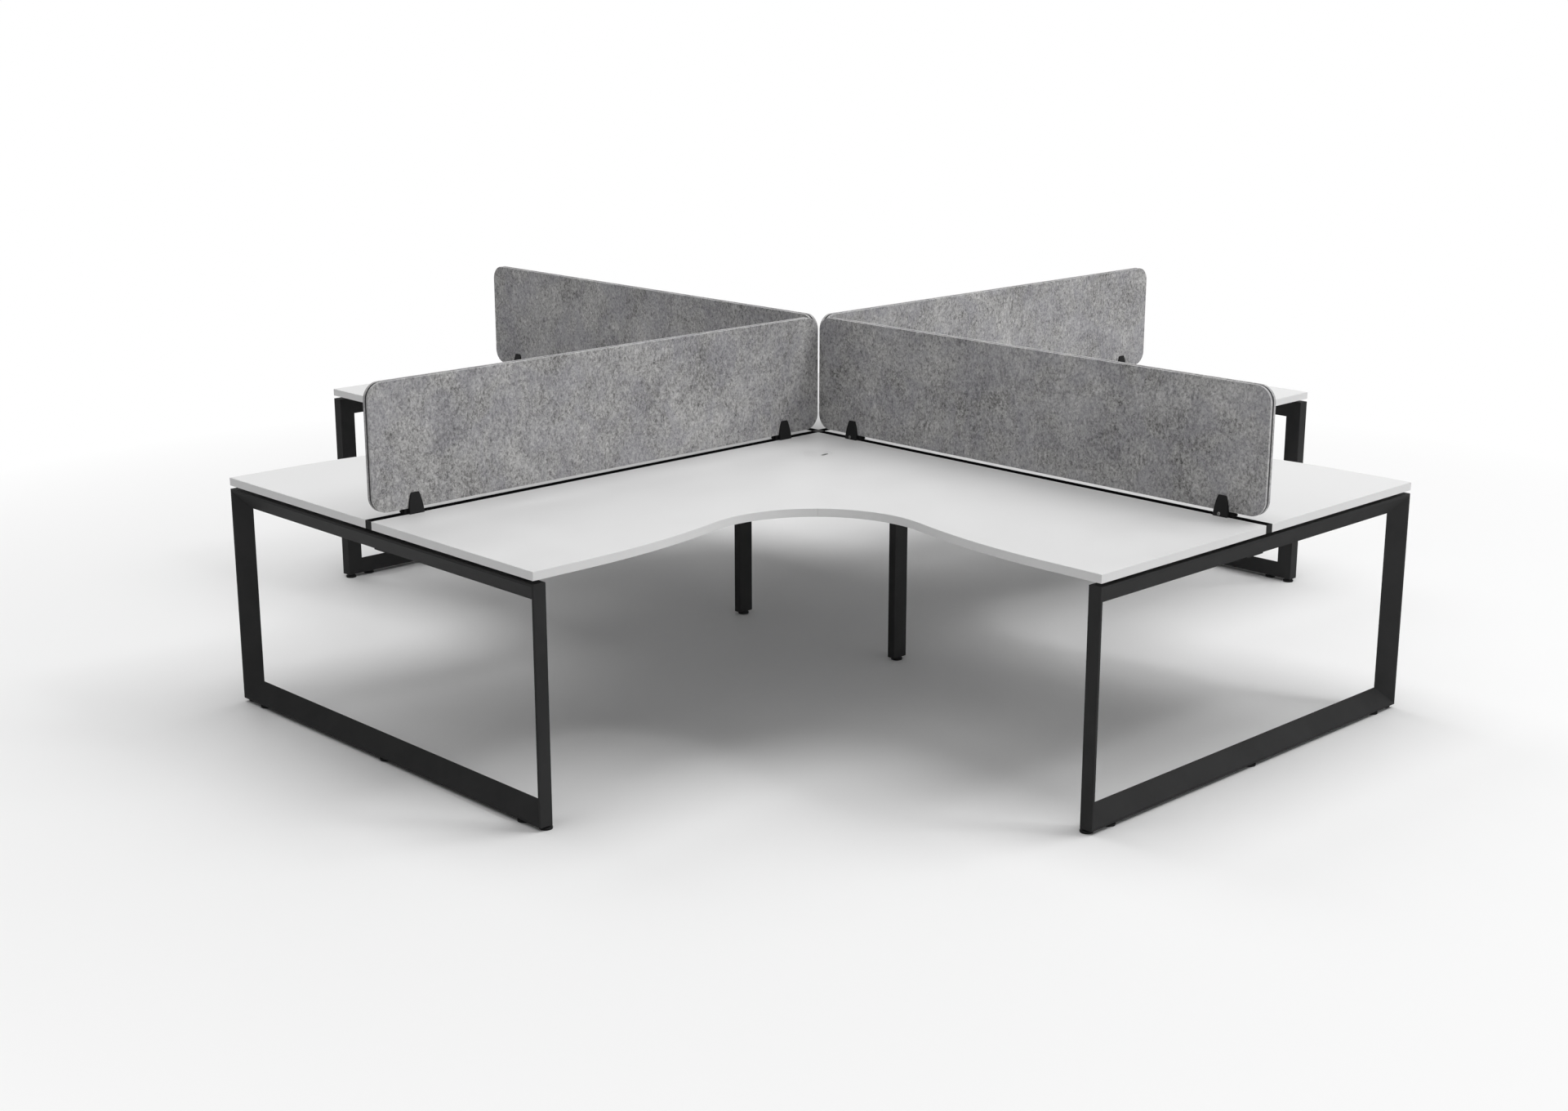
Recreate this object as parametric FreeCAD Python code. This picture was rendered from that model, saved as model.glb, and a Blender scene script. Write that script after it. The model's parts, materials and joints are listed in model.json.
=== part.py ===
import FreeCAD, Part
import math
import os

# A cluster of four corner desks set back to back in a cross. Each worktop is an L with a
# flowing front edge. Low felt screens stand along the four arms of the cross, and a closed
# loop leg carries the outer end of each arm.
#
# Frame: millimetres, Z up, origin on the floor at the middle of the cross. The arms lie
# along +X (front_right), +Y (back_right), -X (back_left) and -Y (front_left). What repeats
# is modelled once, on the +X arm or in the quarter between +X and -Y (the front worktop),
# and is then turned about Z by quarter turns.

# Whole desk
desk_height = 730.0
arm_gap = 30.0
top_length = 1800.0
top_end_depth = 750.0
top_thickness = 25.0
top_underside = desk_height - top_thickness
half_gap = arm_gap / 2
arm_reach = half_gap + top_length
top_front = half_gap + top_end_depth

# Flowing front edge of a worktop
end_straight = 193.7
flare_drop = 76.0
narrow_depth = top_end_depth - flare_drop
hollow_radius = 336.5
band_thickness = 2.0

# Loop legs
loop_stand_off = 10.4
loop_depth = 42.0
loop_face_width = 59.5
loop_lip = 7.6
loop_inner_edge = 2.3
loop_wall = 2.0
loop_edge_radius = 1.6
loop_ground_clearance = 11.3
loop_top = top_underside - loop_stand_off
loop_inboard = arm_reach - loop_depth

# Tabs on the loop legs' top rails that carry the worktops
tab_depth = 36.0
tab_width = 44.0
tab_thickness = 4.0
tab_near = 120.0
tab_side_inset = 125.0
tab_far = top_front - tab_side_inset
tab_hole_in = 18.0

# Beams under the arms and the hub that joins them
beam_width = 30.0
beam_height = 60.0
beam_wall = 2.0
beam_edge_radius = 3.0
beam_plate_thickness = 4.0
beam_plate_width = 80.0
beam_bolt_spread = 54.0
beam_top = loop_top - tab_thickness
beam_bottom = beam_top - beam_height
beam_outer_end = loop_inboard - beam_plate_thickness
hub_width = 60.0
hub_wall = 3.0
hub_plate_width = 170.0
hub_spacer_reach = 62.0
spigot_length = 80.0
spigot_wall = 3.0
spigot_clearance = 0.3
spigot_screw_in = 50.0

# Cross plates that tie two worktops and the gap rail to a beam
cross_plate_count = 3
cross_plate_first_in = 300.0
cross_plate_last_in = 473.0
cross_plate_length = 60.0
cross_plate_width = 190.0
cross_spacer_reach = 72.0
cross_screw_spread = 44.0
cross_plate_pitch = (loop_inboard - cross_plate_last_in - cross_plate_first_in) / (cross_plate_count - 1)
cross_plate_stations = [cross_plate_first_in + i * cross_plate_pitch for i in range(cross_plate_count)]

# Spacers and screws under the worktops
spacer_radius = 15.0
screw_radius = 2.4
screw_head_radius = 5.0
screw_head_height = 3.0
screw_clearance = 0.3
worktop_bite = 17.0
rail_bite = 8.0

# Frame bolts
bolt_radius = 4.0
bolt_head_radius = 6.5
bolt_head_height = 5.0
beam_bolt_bite = 7.0
post_bolt_bite = 12.0
tek_radius = 2.4
tek_head_radius = 5.0
tek_head_height = 3.0
tek_bite = 8.0

# Middle posts
post_reach = 380.0
post_width = 60.0
post_depth = 30.0
post_wall = 2.0
post_edge_radius = 3.0
post_plate_thickness = 4.0
post_plate_length = 116.0
post_bolt_spread = 84.0
post_plug_height = 16.0
post_plug_clearance = 0.2

# Feet
foot_radius = 19.0
foot_pad_height = 7.0
foot_edge = 1.2
foot_neck_radius = 11.0
foot_stud_radius = 4.0
foot_stud_length = 26.0
foot_hole_clearance = 0.5
foot_running_clearance = 0.05
foot_end_inset = 30.0
foot_side_inset = 15.0
insert_radius = 8.0
insert_height = 12.0
glide_side_inset = 100.0
glide_stem_radius = 5.0
glide_stem_length = 14.0
glide_count = 3

# Gap rail between two worktops
rail_wall = 2.0
rail_cap_thickness = 2.0
rail_cap_plug_length = 14.0
rail_cap_clearance = 0.2
centre_cap_boss_radius = 6.0

# Felt screens
screen_height = 380.0
screen_end_inset = 10.0
screen_thickness = 25.0
core_thickness = 7.0
core_inset = 1.0
screen_corner_radius = 50.0
screen_half = screen_thickness / 2
screen_start = half_gap
screen_end = arm_reach - screen_end_inset

# Screen clamps
clamp_inner_in = 160.0
clamp_outer_in = 144.0
clamp_stations = (screen_start + clamp_inner_in, screen_end - clamp_outer_in)
jaw_height = 62.0
jaw_base_width = 50.0
jaw_top_width = 30.0
jaw_corner_radius = 4.0
jaw_base_thickness = 10.5
jaw_top_thickness = 2.8
jaw_edge_radius = 0.8
saddle_height = 16.0
saddle_half_width = 10.0
saddle_back = 18.0
saddle_front = 36.0
jaw_screw_in = 4.5
jaw_screw_height = 7.0
jaw_screw_radius = 3.0
jaw_screw_head_radius = 5.5
jaw_screw_head_height = 3.0
jaw_screw_reach = 12.0
hold_bolt_offset = 25.0
hold_bolt_radius = 3.0
hold_bolt_head_radius = 5.0
hold_bolt_head_height = 5.0
hold_bolt_seat = 8.0
hold_bolt_clearance = 0.3
hold_bolt_tail = 1.5
thumb_radius = 3.8
thumb_length = 8.0
thumb_shank_radius = 2.5
thumb_shank_length = 3.0
thumb_height = 8.5
clamp_plate_thickness = 6.0
clamp_plate_length = 50.0
clamp_plate_width = 80.0
screen_bottom = desk_height + saddle_height
screen_top = screen_bottom + screen_height

# Cable grommets
grommet_reach = 240.0
grommet_hole_radius = 40.0
grommet_flange_radius = 45.0
grommet_flange_thickness = 2.0
grommet_flange_clearance = 0.2
grommet_sleeve_radius = 39.7
grommet_bore_radius = 36.0
grommet_sleeve_depth = 23.0
grommet_seat_radius = 38.0
cap_clearance = 0.08
cap_skirt_depth = 10.0
cap_skirt_wall = 1.2
cap_slot_offset = 26.0
cap_slot_length = 33.0
cap_slot_width = 12.0
cap_slot_angle = 10.5

# How far a cutter runs past the faces that it cuts
overrun = 5.0

ARMS = ("front_right", "back_right", "back_left", "front_left")
WORKTOPS = ("front", "right", "back", "left")
QUARTER = 90.0
V = FreeCAD.Vector
X = V(1, 0, 0)
Y = V(0, 1, 0)
Z = V(0, 0, 1)


# Plain helpers

def slab(x, y, z):
    """A box from its low and high values along each axis."""
    size = [pair[1] - pair[0] for pair in (x, y, z)]
    return Part.makeBox(size[0], size[1], size[2], V(x[0], y[0], z[0]))


def rod(radius, start, along, length):
    return Part.makeCylinder(radius, length, start, along)


def tube(outer, inner, start, along, length):
    return rod(outer, start, along, length).cut(rod(inner, start, along, length))


def turned(shape, quarters):
    copy = shape.copy()
    copy.rotate(V(0, 0, 0), Z, QUARTER * quarters)
    return copy


def prism(points, along):
    return Part.Face(Part.makePolygon(points + points[:1])).extrude(along)


def rounded_wire(points, radii):
    """A closed outline whose corners are rounded, each by its own radius."""
    count = len(points)
    starts = []
    ends = []
    middles = []
    for i in range(count):
        corner = points[i]
        back = (points[i - 1] - corner).normalize()
        ahead = (points[(i + 1) % count] - corner).normalize()
        half_angle = back.getAngle(ahead) / 2
        reach = radii[i] / math.tan(half_angle)
        bisector = (back + ahead).normalize()
        to_middle = radii[i] / math.sin(half_angle) - radii[i]
        starts.append(corner + back * reach)
        ends.append(corner + ahead * reach)
        middles.append(corner + bisector * to_middle)
    edges = []
    for i in range(count):
        if radii[i] > 0:
            edges.append(Part.Arc(starts[i], middles[i], ends[i]).toShape())
        edges.append(Part.LineSegment(ends[i], starts[(i + 1) % count]).toShape())
    return Part.Wire(edges)


def rectangle(centre, half_u, half_v, u, v, radius):
    """A rounded rectangle about a centre, in the plane of the directions u and v."""
    across = u * half_u
    up = v * half_v
    corners = [centre - across - up, centre + across - up, centre + across + up, centre - across + up]
    return rounded_wire(corners, [radius] * len(corners))


def box_tube(centre, half_u, half_v, u, v, wall, radius, along):
    """A rectangular tube with rounded edges, open at both ends."""
    outer = Part.Face(rectangle(centre, half_u, half_v, u, v, radius)).extrude(along)
    inner = Part.Face(rectangle(centre, half_u - wall, half_v - wall, u, v, radius - wall)).extrude(along)
    return outer.cut(inner)


def group(shapes):
    solids = [solid for shape in shapes for solid in shape.Solids]
    return Part.makeCompound(solids)


def cut_all(shape, cutters):
    for cutter in cutters:
        shape = shape.cut(cutter)
    return shape


def for_each_arm(make):
    """The pieces that make() gives for the +X arm, repeated on all four arms."""
    return [turned(piece, quarter) for quarter in range(len(ARMS)) for piece in make()]


def save(name, shape):
    shape.exportStep("parts/" + name + ".step")
    print(name, len(shape.Solids), round(shape.Volume), shape.isValid())


# Worktops

def spacer_places():
    """Where the spacers on one arm stand under its two worktops: along, across, base."""
    places = []
    for across in (tab_near, tab_far):
        places.append((loop_inboard - tab_hole_in, across))
        places.append((loop_inboard - tab_hole_in, -across))
    for along in cross_plate_stations:
        places.append((along, cross_spacer_reach))
        places.append((along, -cross_spacer_reach))
    return places


def front_worktop_screw_places():
    """Screws into the front worktop, from both of its arms and from the hub."""
    near = [(along, across) for along, across in spacer_places() if across < 0]
    mirrored = [(-across, -along) for along, across in near]
    return near + mirrored + [(hub_spacer_reach, -hub_spacer_reach)]


def worktop_outline(inset):
    """Outline of the front worktop, drawn inset from its true edge, at its underside."""
    near = half_gap + inset
    end = arm_reach - inset
    front = top_front - inset
    centre = half_gap + narrow_depth + hollow_radius
    flare_start = arm_reach - end_straight
    bend = 2 * math.atan2(flare_drop, flare_start - centre)
    both = flare_drop / (1 - math.cos(bend))
    hollow = hollow_radius + inset
    flare = both - hollow
    flare_middle = (flare_start - flare * math.sin(bend / 2), front - flare * (1 - math.cos(bend / 2)))
    join = (centre + hollow * math.sin(bend), centre - hollow * math.cos(bend))
    deepest = centre - hollow * math.cos(math.pi / 4)

    def on_right(place):
        return V(place[0], -place[1], top_underside)

    def on_left(place):
        return V(place[1], -place[0], top_underside)

    inner = (near, near)
    inner_end = (end, near)
    outer_end = (end, front)
    flat_end = (flare_start, front)
    edges = [
        Part.LineSegment(on_right(inner), on_right(inner_end)),
        Part.LineSegment(on_right(inner_end), on_right(outer_end)),
        Part.LineSegment(on_right(outer_end), on_right(flat_end)),
        Part.Arc(on_right(flat_end), on_right(flare_middle), on_right(join)),
        Part.Arc(on_right(join), on_right((deepest, deepest)), on_left(join)),
        Part.Arc(on_left(join), on_left(flare_middle), on_left(flat_end)),
        Part.LineSegment(on_left(flat_end), on_left(outer_end)),
        Part.LineSegment(on_left(outer_end), on_left(inner_end)),
        Part.LineSegment(on_left(inner_end), on_left(inner)),
    ]
    return Part.Wire([edge.toShape() for edge in edges])


def grommet_centre():
    return V(half_gap + grommet_reach, -half_gap - grommet_reach, 0)


def worktop():
    """The front worktop's board, without its edge band."""
    board = Part.Face(worktop_outline(band_thickness)).extrude(Z * top_thickness)
    centre = grommet_centre()
    seat = desk_height - grommet_flange_thickness
    hole = rod(grommet_hole_radius, centre + Z * (top_underside - overrun), Z, top_thickness + overrun)
    rebate_radius = grommet_flange_radius + grommet_flange_clearance
    rebate = rod(rebate_radius, centre + Z * seat, Z, grommet_flange_thickness + overrun)
    cutters = [hole, rebate]
    for x, y in front_worktop_screw_places():
        cutters.append(rod(screw_radius, V(x, y, top_underside - overrun), Z, worktop_bite + overrun))
    return cut_all(board, cutters)


def edge_band():
    """Two strips round the front worktop, which meet at the middle of its front curve."""
    ring = Part.Face(worktop_outline(0)).cut(Part.Face(worktop_outline(band_thickness)))
    band = ring.extrude(Z * top_thickness)
    far = arm_reach + overrun
    base = top_underside - overrun
    right_half = prism([V(-far, far, base), V(far, -far, base), V(far, far, base)],
                       Z * (top_thickness + overrun + overrun))
    return group([band.common(right_half), band.cut(right_half)])


# Loop legs

def loop_section(origin, inward):
    """The loop tube's section: flat inboard, a lip outboard, and a face slanting inwards."""
    slant = math.atan2(loop_depth - loop_inner_edge, loop_face_width - loop_lip)
    offset = loop_wall / math.cos(slant)
    lip_inside = loop_lip + (loop_wall - offset) / math.tan(slant)
    tip_inside = loop_lip + (loop_depth - loop_wall - offset) / math.tan(slant)
    outer = [(0, 0), (loop_depth, 0), (loop_depth, loop_lip), (loop_inner_edge, loop_face_width),
             (0, loop_face_width)]
    inner = [(loop_wall, loop_wall), (loop_depth - loop_wall, loop_wall),
             (loop_depth - loop_wall, lip_inside), (loop_wall, tip_inside)]
    radii = [loop_edge_radius, loop_edge_radius, loop_edge_radius, loop_inner_edge / 2, loop_inner_edge / 2]
    outer_wire = rounded_wire([origin + X * u + inward * v for u, v in outer], radii)
    inner_points = [origin + X * u + inward * v for u, v in inner]
    inner_wire = Part.makePolygon(inner_points + inner_points[:1])
    return Part.Face(outer_wire).cut(Part.Face(inner_wire))


def loop_member(side):
    """One of the loop's four tubes, mitred at both ends."""
    low = loop_ground_clearance
    width = top_front
    starts = {
        "top": (V(loop_inboard, -width, loop_top), Z * -1, Y * (width + width)),
        "bottom": (V(loop_inboard, -width, low), Z, Y * (width + width)),
        "near": (V(loop_inboard, -width, low), Y, Z * (loop_top - low)),
        "far": (V(loop_inboard, width, low), Y * -1, Z * (loop_top - low)),
    }
    origin, inward, along = starts[side]
    member = loop_section(origin, inward).extrude(along)
    out = overrun
    deep = loop_face_width + overrun
    x = loop_inboard - overrun
    corners = {
        "top": [(-width - out, loop_top + out), (width + out, loop_top + out),
                (width - deep, loop_top - deep), (-width + deep, loop_top - deep)],
        "bottom": [(-width - out, low - out), (width + out, low - out),
                   (width - deep, low + deep), (-width + deep, low + deep)],
        "near": [(-width - out, low - out), (-width - out, loop_top + out),
                 (-width + deep, loop_top - deep), (-width + deep, low + deep)],
        "far": [(width + out, low - out), (width + out, loop_top + out),
                (width - deep, loop_top - deep), (width - deep, low + deep)],
    }
    mitre = prism([V(x, y, z) for y, z in corners[side]], X * (loop_depth + overrun + overrun))
    return member.common(mitre)


def corner_foot_places():
    along = arm_reach - foot_end_inset
    across = top_front - foot_side_inset
    return [V(along, -across, 0), V(along, across, 0)]


def glide_places():
    span = top_front - glide_side_inset
    along = arm_reach - loop_depth / 2
    step = 2 * span / (glide_count - 1)
    return [V(along, -span + i * step, 0) for i in range(glide_count)]


def beam_bolt_places():
    height = beam_top - beam_height / 2
    return [V(beam_outer_end, side * beam_bolt_spread / 2, height) for side in (-1, 1)]


def loop_leg():
    """The +X arm's loop: four mitred tubes and the four tabs welded behind its top rail."""
    floor_holes = []
    for place in corner_foot_places():
        start = place + Z * (loop_ground_clearance - overrun)
        floor_holes.append(rod(foot_stud_radius + foot_hole_clearance, start, Z, overrun + overrun))
    for place in glide_places():
        start = place + Z * (loop_ground_clearance - overrun)
        floor_holes.append(rod(glide_stem_radius, start, Z, overrun + overrun))
    bolt_length = beam_plate_thickness + beam_bolt_bite
    bolt_holes = [rod(bolt_radius, place, X, bolt_length) for place in beam_bolt_places()]
    pieces = [
        cut_all(loop_member("top"), bolt_holes),
        cut_all(loop_member("bottom"), floor_holes),
        loop_member("near"),
        loop_member("far"),
    ]
    for across in (-tab_far, -tab_near, tab_near, tab_far):
        tab = slab((loop_inboard - tab_depth, loop_inboard),
                   (across - tab_width / 2, across + tab_width / 2),
                   (loop_top - tab_thickness, loop_top))
        hole_start = V(loop_inboard - tab_hole_in, across, loop_top - tab_thickness)
        pieces.append(tab.cut(rod(screw_radius + screw_clearance, hole_start, Z, tab_thickness)))
    return group(pieces)


# Feet

def foot_body(place, neck_radius):
    """A round pad with eased edges and a neck up to what stands on it."""
    pad = rod(foot_radius, place, Z, foot_pad_height)
    pad = pad.makeFillet(foot_edge, [e for e in pad.Edges if len(e.Vertexes) == 1])
    neck = rod(neck_radius, place + Z * foot_pad_height, Z, loop_ground_clearance - foot_pad_height)
    return pad.fuse(neck)


def levelling_foot(place):
    stud = rod(foot_stud_radius, place + Z * loop_ground_clearance, Z, foot_stud_length)
    return foot_body(place, foot_neck_radius).fuse(stud).removeSplitter()


def glide(place):
    stem = rod(glide_stem_radius, place + Z * loop_ground_clearance, Z, glide_stem_length)
    return foot_body(place, foot_neck_radius).fuse(stem).removeSplitter()


def foot_insert(place):
    """Threaded insert on the bottom rail's floor, drawn at the stud's running fit."""
    start = place + Z * (loop_ground_clearance + loop_wall)
    return tube(insert_radius, foot_stud_radius + foot_running_clearance, start, Z, insert_height)


def post_plug():
    half_across = post_width / 2 - post_wall - post_plug_clearance
    half_along = post_depth / 2 - post_wall - post_plug_clearance
    base = V(post_reach, 0, loop_ground_clearance)
    outline = rectangle(base, half_along, half_across, X, Y, post_edge_radius - post_wall)
    block = Part.Face(outline).extrude(Z * post_plug_height)
    return block.cut(rod(foot_stud_radius + foot_running_clearance, base, Z, post_plug_height))


# Middle posts, beams and hub

def post_bolt_places():
    base = beam_bottom - post_plate_thickness
    return [V(post_reach + side * post_bolt_spread / 2, 0, base) for side in (-1, 1)]


def middle_post():
    plate_base = beam_bottom - post_plate_thickness
    foot = V(post_reach, 0, loop_ground_clearance)
    length = plate_base - loop_ground_clearance
    shaft = box_tube(foot, post_depth / 2, post_width / 2, X, Y, post_wall, post_edge_radius, Z * length)
    plate = slab((post_reach - post_plate_length / 2, post_reach + post_plate_length / 2),
                 (-post_width / 2, post_width / 2), (plate_base, beam_bottom))
    holes = [rod(bolt_radius, place, Z, post_plate_thickness) for place in post_bolt_places()]
    return group([shaft, cut_all(plate, holes)])


def cross_screw_places():
    places = []
    for along in cross_plate_stations:
        places.append(V(along - cross_screw_spread / 2, 0, loop_top))
        places.append(V(along + cross_screw_spread / 2, 0, loop_top))
    return places


def spigot_screw_place():
    return V(hub_width / 2 + spigot_screw_in, 0, beam_bottom)


def beam(has_post):
    """The +X arm's beam with the plate that bolts to the loop leg."""
    start = V(hub_width / 2, 0, beam_bottom + beam_height / 2)
    length = beam_outer_end - hub_width / 2
    bar = box_tube(start, beam_width / 2, beam_height / 2, Y, Z, beam_wall, beam_edge_radius, X * length)
    cutters = []
    for along in cross_plate_stations:
        head_hole = screw_head_radius + screw_clearance
        cutters.append(rod(head_hole, V(along, 0, beam_top - overrun), Z, overrun + overrun))
    for place in cross_screw_places():
        cutters.append(rod(tek_radius, V(place.x, 0, beam_top - overrun), Z, overrun + overrun))
    spigot_screw = spigot_screw_place()
    cutters.append(rod(tek_radius, spigot_screw - Z * overrun, Z, overrun + overrun))
    if has_post:
        for place in post_bolt_places():
            cutters.append(rod(bolt_radius, V(place.x, 0, beam_bottom - overrun), Z, overrun + overrun))
    plate = slab((beam_outer_end, loop_inboard), (-beam_plate_width / 2, beam_plate_width / 2),
                 (beam_bottom, beam_top))
    plate_holes = [rod(bolt_radius, place, X, beam_plate_thickness) for place in beam_bolt_places()]
    return [cut_all(bar, cutters), cut_all(plate, plate_holes)]


def hub():
    """The welded hub: a box, its top plate and a spigot into each beam."""
    half = hub_width / 2
    box = slab((-half, half), (-half, half), (beam_bottom, beam_top))
    inside = half - hub_wall
    box = box.cut(slab((-inside, inside), (-inside, inside), (beam_bottom, beam_top)))
    reach = hub_plate_width / 2
    plate = slab((-reach, reach), (-reach, reach), (beam_top, loop_top))
    holes = [V(a * hub_spacer_reach, b * hub_spacer_reach, beam_top) for a in (-1, 1) for b in (-1, 1)]
    holes.append(V(0, 0, beam_top))
    plate = cut_all(plate, [rod(screw_radius + screw_clearance, at, Z, tab_thickness) for at in holes])
    middle = V(half, 0, beam_bottom + beam_height / 2)
    spigot = box_tube(middle, beam_width / 2 - beam_wall - spigot_clearance,
                      beam_height / 2 - beam_wall - spigot_clearance, Y, Z, spigot_wall,
                      spigot_wall + beam_edge_radius / 2, X * spigot_length)
    screw_hole = rod(tek_radius, spigot_screw_place(), Z, tek_bite + overrun)
    spigot = spigot.cut(screw_hole)
    return group([box, plate] + [turned(spigot, quarter) for quarter in range(len(ARMS))])


def cross_plates():
    """The +X arm's cross plates, which lie on the beam."""
    plates = []
    for along in cross_plate_stations:
        plate = slab((along - cross_plate_length / 2, along + cross_plate_length / 2),
                     (-cross_plate_width / 2, cross_plate_width / 2), (beam_top, loop_top))
        for across in (-cross_spacer_reach, 0, cross_spacer_reach):
            hole = rod(screw_radius + screw_clearance, V(along, across, beam_top), Z, tab_thickness)
            plate = plate.cut(hole)
        for place in cross_screw_places():
            plate = plate.cut(rod(tek_radius, V(place.x, 0, beam_top), Z, tab_thickness))
        plates.append(plate)
    return plates


# Spacers, screws and bolts

def rail_screw_places():
    return [(along, 0) for along in cross_plate_stations]


def hub_spacer_places():
    corners = [(a * hub_spacer_reach, b * hub_spacer_reach) for a in (-1, 1) for b in (-1, 1)]
    return corners + [(0, 0)]


def spacer(x, y):
    hole = screw_radius + screw_clearance
    return tube(spacer_radius, hole, V(x, y, loop_top), Z, loop_stand_off)


def arm_spacers():
    return [spacer(x, y) for x, y in spacer_places() + rail_screw_places()]


def worktop_screw(x, y, bite):
    """A pan-head screw from under a plate, up through a spacer and into what it holds."""
    base = loop_top - tab_thickness
    shank = rod(screw_radius, V(x, y, base), Z, tab_thickness + loop_stand_off + bite)
    head = rod(screw_head_radius, V(x, y, base - screw_head_height), Z, screw_head_height)
    return shank.fuse(head)


def arm_screws():
    into_worktops = [worktop_screw(x, y, worktop_bite) for x, y in spacer_places()]
    into_rail = [worktop_screw(x, y, rail_bite) for x, y in rail_screw_places()]
    return into_worktops + into_rail


def bolt(radius, head_radius, head_height, start, along, length):
    """A bolt whose head lies just before start and whose shank runs on from it."""
    shank = rod(radius, start, along, length)
    head = rod(head_radius, start - along * head_height, along, head_height)
    return shank.fuse(head)


def arm_bolts():
    bolts = [bolt(bolt_radius, bolt_head_radius, bolt_head_height, place, X,
                  beam_plate_thickness + beam_bolt_bite) for place in beam_bolt_places()]
    for place in cross_screw_places():
        bolts.append(bolt(tek_radius, tek_head_radius, tek_head_height, place, Z * -1,
                          tab_thickness + tek_bite))
    bolts.append(bolt(tek_radius, tek_head_radius, tek_head_height, spigot_screw_place(), Z, tek_bite))
    return bolts


def post_bolts():
    return [bolt(bolt_radius, bolt_head_radius, bolt_head_height, place, Z,
                 post_plate_thickness + post_bolt_bite) for place in post_bolt_places()]


# Gap rails

def hold_bolt_place(station):
    return V(station + hold_bolt_offset, 0, desk_height)


def gap_rail():
    """A box section that fills the gap between two worktops, flush with their tops."""
    along = (half_gap, arm_reach - rail_cap_thickness)
    whole = slab(along, (-half_gap, half_gap), (top_underside, desk_height))
    inside = half_gap - rail_wall
    hollow = slab(along, (-inside, inside), (top_underside + rail_wall, desk_height - rail_wall))
    cutters = [hollow]
    for x, y in rail_screw_places():
        cutters.append(rod(screw_radius, V(x, y, top_underside), Z, rail_bite))
    hole_radius = hold_bolt_radius + hold_bolt_clearance
    for station in clamp_stations:
        hole_start = hold_bolt_place(station) - Z * top_thickness
        cutters.append(rod(hole_radius, hole_start, Z, top_thickness))
    return cut_all(whole, cutters)


def rail_end_cap():
    """The +X rail's end cap: a plate flush with the worktops' ends and a plug behind it."""
    plate = slab((arm_reach - rail_cap_thickness, arm_reach), (-half_gap, half_gap),
                 (top_underside, desk_height))
    inside = half_gap - rail_wall - rail_cap_clearance
    lift = rail_wall + rail_cap_clearance
    plug_start = arm_reach - rail_cap_thickness - rail_cap_plug_length
    plug = slab((plug_start, arm_reach - rail_cap_thickness), (-inside, inside),
                (top_underside + lift, desk_height - lift))
    return plate.fuse(plug).removeSplitter()


def centre_cap():
    """The square cap where the four gap rails meet, with a boss for its screw."""
    block = slab((-half_gap, half_gap), (-half_gap, half_gap), (top_underside, desk_height))
    inside = half_gap - rail_wall
    cavity = slab((-inside, inside), (-inside, inside), (top_underside, desk_height - rail_wall))
    boss = rod(centre_cap_boss_radius, V(0, 0, top_underside), Z, top_thickness - rail_wall)
    screw = rod(screw_radius, V(0, 0, top_underside), Z, rail_bite)
    return block.cut(cavity).fuse(boss).cut(screw)


# Screens

def screen_plate(inset, y_low, y_high):
    """A plate with rounded corners, in the plane of the +X arm's screen."""
    middle = V((screen_start + screen_end) / 2, y_low, (screen_bottom + screen_top) / 2)
    half_length = (screen_end - screen_start) / 2 - inset
    half_height = screen_height / 2 - inset
    outline = rectangle(middle, half_length, half_height, X, Z, screen_corner_radius - inset)
    return Part.Face(outline).extrude(Y * (y_high - y_low))


def screen_core():
    return screen_plate(core_inset, -core_thickness / 2, core_thickness / 2)


def screen_felts():
    return group([screen_plate(0, -screen_half, -core_thickness / 2),
                  screen_plate(0, core_thickness / 2, screen_half)])


# Screen clamps

def jaw_outline(station, y):
    """Front view of a jaw: sides that rise upright from a broad base and bow in to a rounded top."""
    half_base = jaw_base_width / 2
    flat = jaw_top_width / 2 - jaw_corner_radius
    corner_height = jaw_height - jaw_corner_radius
    inset = half_base - flat
    side_radius = ((inset ** 2 + corner_height ** 2 - jaw_corner_radius ** 2)
                   / (2 * (inset - jaw_corner_radius)))
    meet = math.asin(corner_height / (side_radius - jaw_corner_radius))

    def at(side, across, height):
        return V(station + side * across, y, desk_height + height)

    def on_side(side, angle):
        return at(side, half_base + side_radius * (math.cos(angle) - 1), side_radius * math.sin(angle))

    def on_corner(side, angle):
        return at(side, flat + jaw_corner_radius * math.cos(angle),
                  corner_height + jaw_corner_radius * math.sin(angle))

    halfway = (meet + math.pi / 2) / 2
    edges = [
        Part.LineSegment(at(-1, half_base, 0), at(1, half_base, 0)),
        Part.Arc(at(1, half_base, 0), on_side(1, meet / 2), on_side(1, meet)),
        Part.Arc(on_side(1, meet), on_corner(1, halfway), at(1, flat, jaw_height)),
        Part.LineSegment(at(1, flat, jaw_height), at(-1, flat, jaw_height)),
        Part.Arc(at(-1, flat, jaw_height), on_corner(-1, halfway), on_side(-1, meet)),
        Part.Arc(on_side(-1, meet), on_side(-1, meet / 2), at(-1, half_base, 0)),
    ]
    return Part.Wire([edge.toShape() for edge in edges])


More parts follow.
